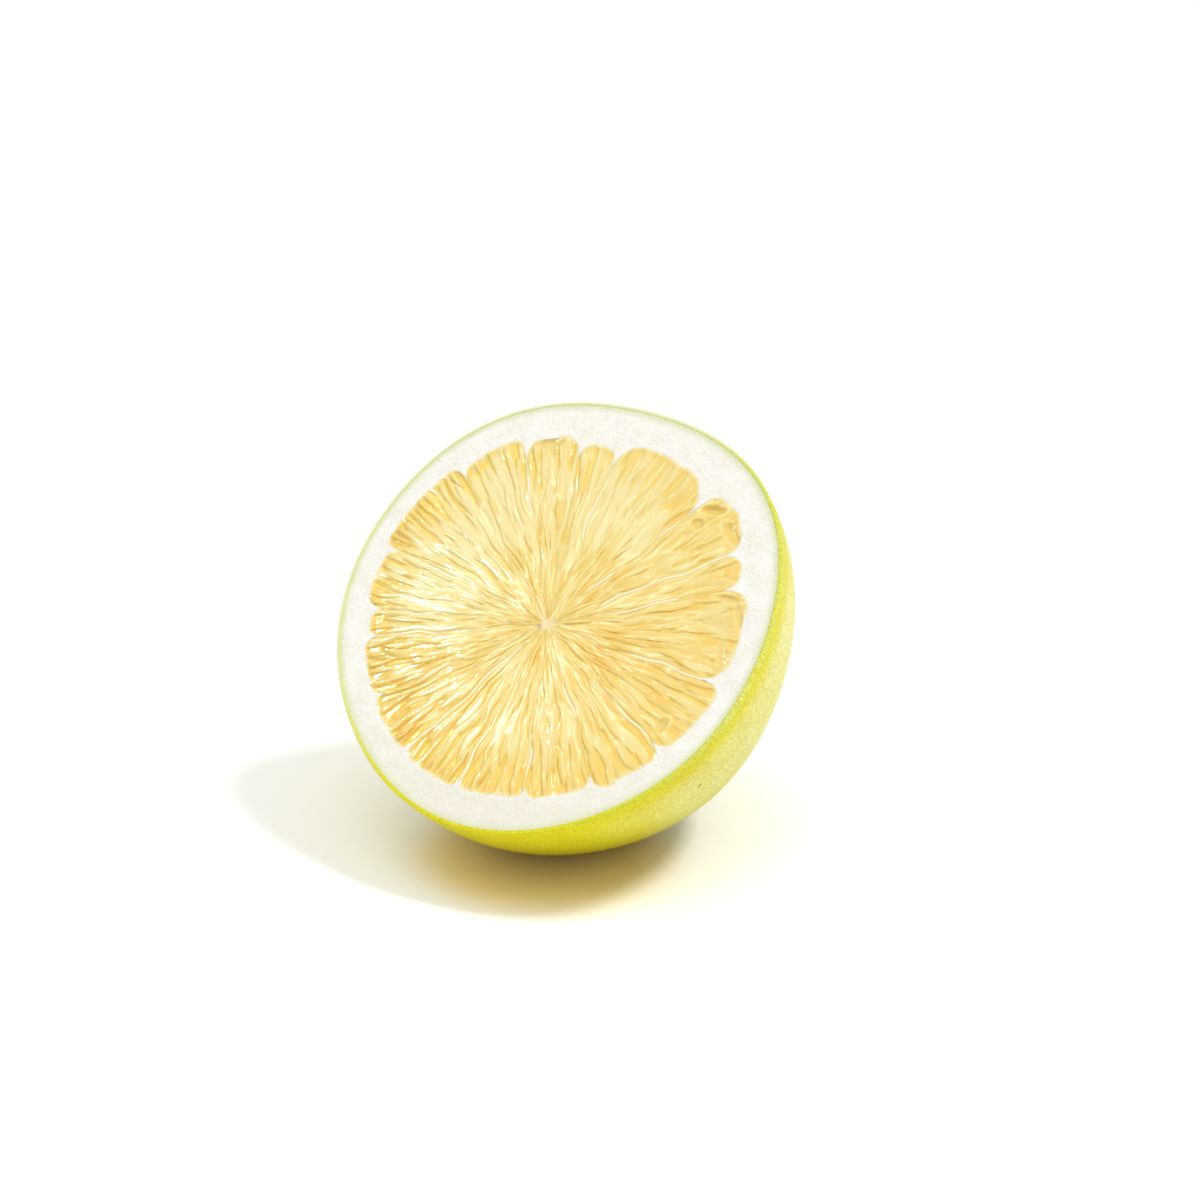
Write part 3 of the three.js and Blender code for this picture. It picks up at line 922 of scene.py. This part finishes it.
# One closed body: slices round a ball whose two ends are the middles of the segment's flat sides
def makeSegment(plan, material):
    random.seed(flesh["seed"] + plan["number"])
    form = Slicer(plan, flesh["fill"])
    slices = round(2 * plan["spread"] * plan["reach"] / flesh["acrossStep"])
    steps = round(plan["reach"] / flesh["alongStep"])
    lines = [(2 * i / slices - 1) * (1 - flesh["lastSlice"]) for i in range(slices + 1)]
    spots = [-1.0] + [0.7 * line + 0.3 * math.sin(math.pi / 2 * line) for line in lines] + [1.0]
    slices += 2
    height, out, face, tints = cutSurface(plan, form, spots, steps)
    backSteps = flesh["backSteps"]
    capSteps = flesh["capSteps"]
    loopCount = steps + 1 + backSteps + 1 + flesh["edgeSteps"]
    rowCount = slices + 2 * capSteps
    firstSlope = math.asin(2.4 / fruit["fleshDepth"])
    bottom = -fruit["fleshDepth"] * math.sin(form.lastSlope)

    # A point of the loop round one slice: out along the cut, back under it and up beside the core
    def loopPoint(line, index):
        spot = spots[line]
        if index <= steps:
            x, y = face[line, index]
            return Vector((x, y, height[line, index])), out[line, index]
        index -= steps + 1
        if index <= backSteps:
            slope = blend(firstSlope, form.lastSlope, index / backSteps)
            run = form.length(spot, slope)
            return form.at(spot, run, -fruit["fleshDepth"] * math.sin(slope)), run
        share = (index - backSteps) / (flesh["edgeSteps"] + 1)
        return form.at(spot, 0.0, blend(bottom, -1.2, share)), 0.0

    bm = bmesh.new()
    bmesh.ops.create_uvsphere(bm, u_segments=loopCount, v_segments=rowCount, radius=1.0)
    layers = {name: layer(bm, name) for name in tints}
    grain = vectorLayer(bm, "grain")
    grainAcross, grainAlong, grainShift = flesh["grainScale"]
    for vert in bm.verts:
        row = round(rowCount * math.acos(clamp(vert.co.z, -1.0, 1.0)) / math.pi)
        index = round(loopCount * (math.atan2(vert.co.y, vert.co.x) % wholeTurn) / wholeTurn) % loopCount
        line = clamp(row - capSteps, 0, slices)
        spot = spots[line]
        point, run = loopPoint(line, index)
        run = float(run)
        inset = max(capSteps - row, row - capSteps - slices, 0) / capSteps
        angle = plan["middle"] + spot * plan["spread"]
        fromCore = run + form.edge - form.inward
        low = membraneShift(plan["number"], fromCore, max(0.0, -point.z))
        high = membraneShift(plan["number"] + 1, fromCore, max(0.0, -point.z))
        side = blend(low, high, (spot + 1) / 2)
        if point.z > -3.0:
            number = plan["number"] + (1 if spot > 0 else 0)
            side += math.copysign(0.27 * membraneCover(number, fromCore) * abs(spot) ** 8, spot)
        point += side * Vector((-math.sin(angle), math.cos(angle), 0.0))
        if inset > 0:
            middle = form.at(spot, plan["reach"] * 0.4, -fruit["fleshDepth"] * 0.36)
            point = point.lerp(middle, inset)
        vert.co = point
        for name, values in tints.items():
            vert[layers[name]] = values[line, index] if index <= steps else flesh["underCut"][name]
        turned = spot * plan["spread"] * grainAcross
        vert[grain] = Vector((turned, run * grainAlong, plan["number"] * grainShift))
    bmesh.ops.recalc_face_normals(bm, faces=bm.faces)
    name = plan["name"].replace("segment", "flesh")
    finishPiece(bm, name, [material], [plan["name"]], creaseDeg)


def makeFlesh(plans):
    material = fleshMaterial()
    for plan in plans:
        makeSegment(plan, material)


# The dry calyx in the dimple at the stem end
calyx = {
    "radius": 4.6,
    "height": 2.2,
    "points": 5,
    "brown": (0.16, 0.11, 0.04),
    "green": (0.26, 0.27, 0.06),
    "mottle": (0.5, 2.4, 0.5),
    "relief": (0.4, 0.8),
}


def calyxMaterial():
    material, tree, shader = newMaterial("dryCalyx")
    place = fruitSpace(tree)
    base = mixColour(tree, mottleMask(tree, place, *calyx["mottle"]), calyx["brown"], calyx["green"])
    tree.links.new(base, shader.inputs["Base Color"])
    relief = bumpOf(tree, noiseAt(tree, place, 2.2, 4.0), *calyx["relief"])
    tree.links.new(relief, shader.inputs["Normal"])
    setSockets(shader, Roughness=0.8)
    return material


def makeCalyx():
    bm = bmesh.new()
    bmesh.ops.create_uvsphere(bm, u_segments=60, v_segments=20, radius=1.0)
    underEdge = math.acos(calyx["radius"] / fruit["cutRadius"])
    seat = layerPoint(math.pi / fruit["furrowCount"], underEdge, 0.0).z - fruit["clearance"]
    for vert in bm.verts:
        x, y, z = vert.co
        angle = math.atan2(y, x)
        ring = math.hypot(x, y)
        star = 0.84 + 0.16 * math.cos(calyx["points"] * angle) * smooth(ring)
        out = calyx["radius"] * ring ** 0.8 * star
        if z >= 0:
            high = 1.6 * (1 - ring ** 3)
        else:
            stub = 1 - smooth(out / 1.6)
            high = -calyx["height"] * (0.45 + 0.25 * (1 - ring) + 0.3 * stub) * (1 - ring ** 6)
        high += 0.12 * noise.noise(vert.co * 3.0)
        vert.co = Vector((out * math.cos(angle), out * math.sin(angle), seat + high))
    bmesh.ops.recalc_face_normals(bm, faces=bm.faces)
    finishPiece(bm, "stemCalyx", [calyxMaterial()], ["stem_button"])


# Skylight from every side, a sun from behind at the right that sets the shadow, a wide one above, and a
# small lamp at the left that only makes the glints
studio = {
    "floorSize": 6.0,
    "floorColour": (0.985, 0.985, 0.98),
    "floorShade": (0.97, 0.97, 0.965),
    "paintedBounceLight": (0.98, 0.79, 0.36),  # painted light: the warm light that the skin throws into its shadow, painted into the floor's colour
    "bounceLightPlace": (0.003, -0.025, 0.0),
    "bounceLightSize": (0.057, 0.056, 1.0),
    "bounceLightFade": (0.45, 0.9),
    "worldLight": 0.73,
    "suns": [
        {"name": "rightSun", "towards": (0.50, 0.20, 0.84), "spreadDeg": 12.0, "power": 1.6},
        {"name": "topSun", "towards": (-0.25, -0.35, 0.90), "spreadDeg": 60.0, "power": 0.8},
    ],
    "keyPlace": (-0.196, -0.154, 0.286),
    "keyAim": (-0.03, -0.02, 0.07),
    "keySize": (0.020, 0.027),
    "keyPower": 0.11,
}
camera = {
    "place": (0.32388324, -0.57303761, 0.31757897),
    "azimuthDeg": 28.7,
    "elevationDeg": 20.0,
    "lens": 66.0,
    "sensor": 36.0,
}


def makeFloor():
    bm = bmesh.new()
    bmesh.ops.create_grid(bm, x_segments=1, y_segments=1, size=studio["floorSize"] / 2)
    mesh = bpy.data.meshes.new("floor")
    bm.to_mesh(mesh)
    bm.free()
    floor = bpy.data.objects.new("floor", mesh)
    bpy.context.scene.collection.objects.link(floor)
    material, tree, shader = newMaterial("paleFloor")
    place = addNode(tree, "ShaderNodeTexCoord").outputs["Object"]
    clouds = times(tree, noiseAt(tree, place, 3.0), 0.03)
    shade = mixColour(tree, clouds, studio["floorColour"], studio["floorShade"])
    # Painted light: a warm patch in the floor's colour inside the fruit's shadow
    away = ellipsoidAt(tree, place, studio["bounceLightPlace"], studio["bounceLightSize"])
    shade = mixColour(tree, mapRange(tree, away, *studio["bounceLightFade"], 1.0, 0.0), shade, studio["paintedBounceLight"])
    tree.links.new(shade, shader.inputs["Base Color"])
    setSockets(shader, Roughness=0.5, Specular_IOR_Level=0.3)
    mesh.materials.append(material)


def makeWorld():
    world = bpy.data.worlds.new("studioLight")
    world.use_nodes = True
    tree = world.node_tree
    background = tree.nodes["Background"]
    background.inputs["Color"].default_value = (1.0, 1.0, 1.0, 1.0)
    seen = addNode(tree, "ShaderNodeLightPath").outputs["Is Camera Ray"]
    level = addNode(tree, "ShaderNodeMapRange", Value=seen)
    level.inputs["To Min"].default_value = studio["worldLight"]
    level.inputs["To Max"].default_value = 1.0
    tree.links.new(level.outputs["Result"], background.inputs["Strength"])
    bpy.context.scene.world = world


def addLamp(name, place, aim, size, power):
    lamp = bpy.data.lights.new(name, "AREA")
    lamp.shape = "RECTANGLE"
    lamp.size = size[0]
    lamp.size_y = size[1]
    lamp.energy = power
    made = bpy.data.objects.new(name, lamp)
    made.location = place
    made.rotation_euler = (Vector(aim) - Vector(place)).to_track_quat("-Z", "Y").to_euler()
    made.visible_diffuse = False
    bpy.context.scene.collection.objects.link(made)


def addSun(name, towards, spreadDeg, power):
    lamp = bpy.data.lights.new(name, "SUN")
    lamp.energy = power
    lamp.angle = math.radians(spreadDeg)
    made = bpy.data.objects.new(name, lamp)
    made.rotation_euler = Vector(towards).to_track_quat("Z", "Y").to_euler()
    bpy.context.scene.collection.objects.link(made)


def makeCamera():
    lens = bpy.data.cameras.new("viewCamera")
    lens.lens = camera["lens"]
    lens.sensor_width = camera["sensor"]
    lens.clip_start = 0.01
    made = bpy.data.objects.new("viewCamera", lens)
    azimuth = math.radians(camera["azimuthDeg"])
    elevation = math.radians(camera["elevationDeg"])
    level = math.cos(elevation)
    forward = Vector((-math.sin(azimuth) * level, math.cos(azimuth) * level, -math.sin(elevation)))
    made.location = camera["place"]
    made.rotation_euler = forward.to_track_quat("-Z", "Y").to_euler()
    bpy.context.scene.collection.objects.link(made)
    bpy.context.scene.camera = made


plans = segmentPlans()
makeRind()
makePith(plans)
makeMembranes(plans)
makeFlesh(plans)
makeCalyx()
makeFloor()
makeWorld()
addLamp("keyLight", studio["keyPlace"], studio["keyAim"], studio["keySize"], studio["keyPower"])
for sun in studio["suns"]:
    addSun(**sun)
makeCamera()
bpy.context.scene.view_settings.view_transform = "Standard"
print("studio: floor, world, lamp, suns and the camera")
